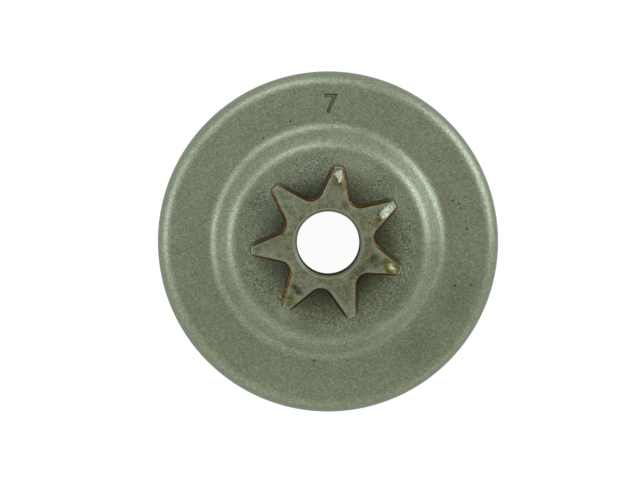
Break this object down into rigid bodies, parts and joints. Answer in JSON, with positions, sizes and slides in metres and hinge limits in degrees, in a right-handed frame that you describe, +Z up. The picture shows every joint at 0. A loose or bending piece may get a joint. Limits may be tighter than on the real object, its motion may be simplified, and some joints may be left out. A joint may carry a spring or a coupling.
{
  "type": "clutch drum",
  "caption": "Pressed steel cup with a raised centre and a brazed star sprocket bored for a needle bearing; it carries a chainsaw's drive from the clutch shoes to the chain.",
  "frame": {"origin": "centre of the open rim's plane", "axes": "+Z up the drum's axis from the rim to the star's end face, +Y towards the stamped figure"},
  "size_m": [0.0715, 0.0714, 0.0312],
  "materials": {
    "blasted_steel": "shot-blasted, lightly oiled, olive grey",
    "sprocket_steel": "ground end face, copper-tinted flanks",
    "copper_braze": "dull furnace copper"
  },
  "bodies": {
    "root": {"drum_cup": "blasted_steel", "sprocket": "sprocket_steel", "braze_fillet": "copper_braze"}
  },
  "joints": []
}
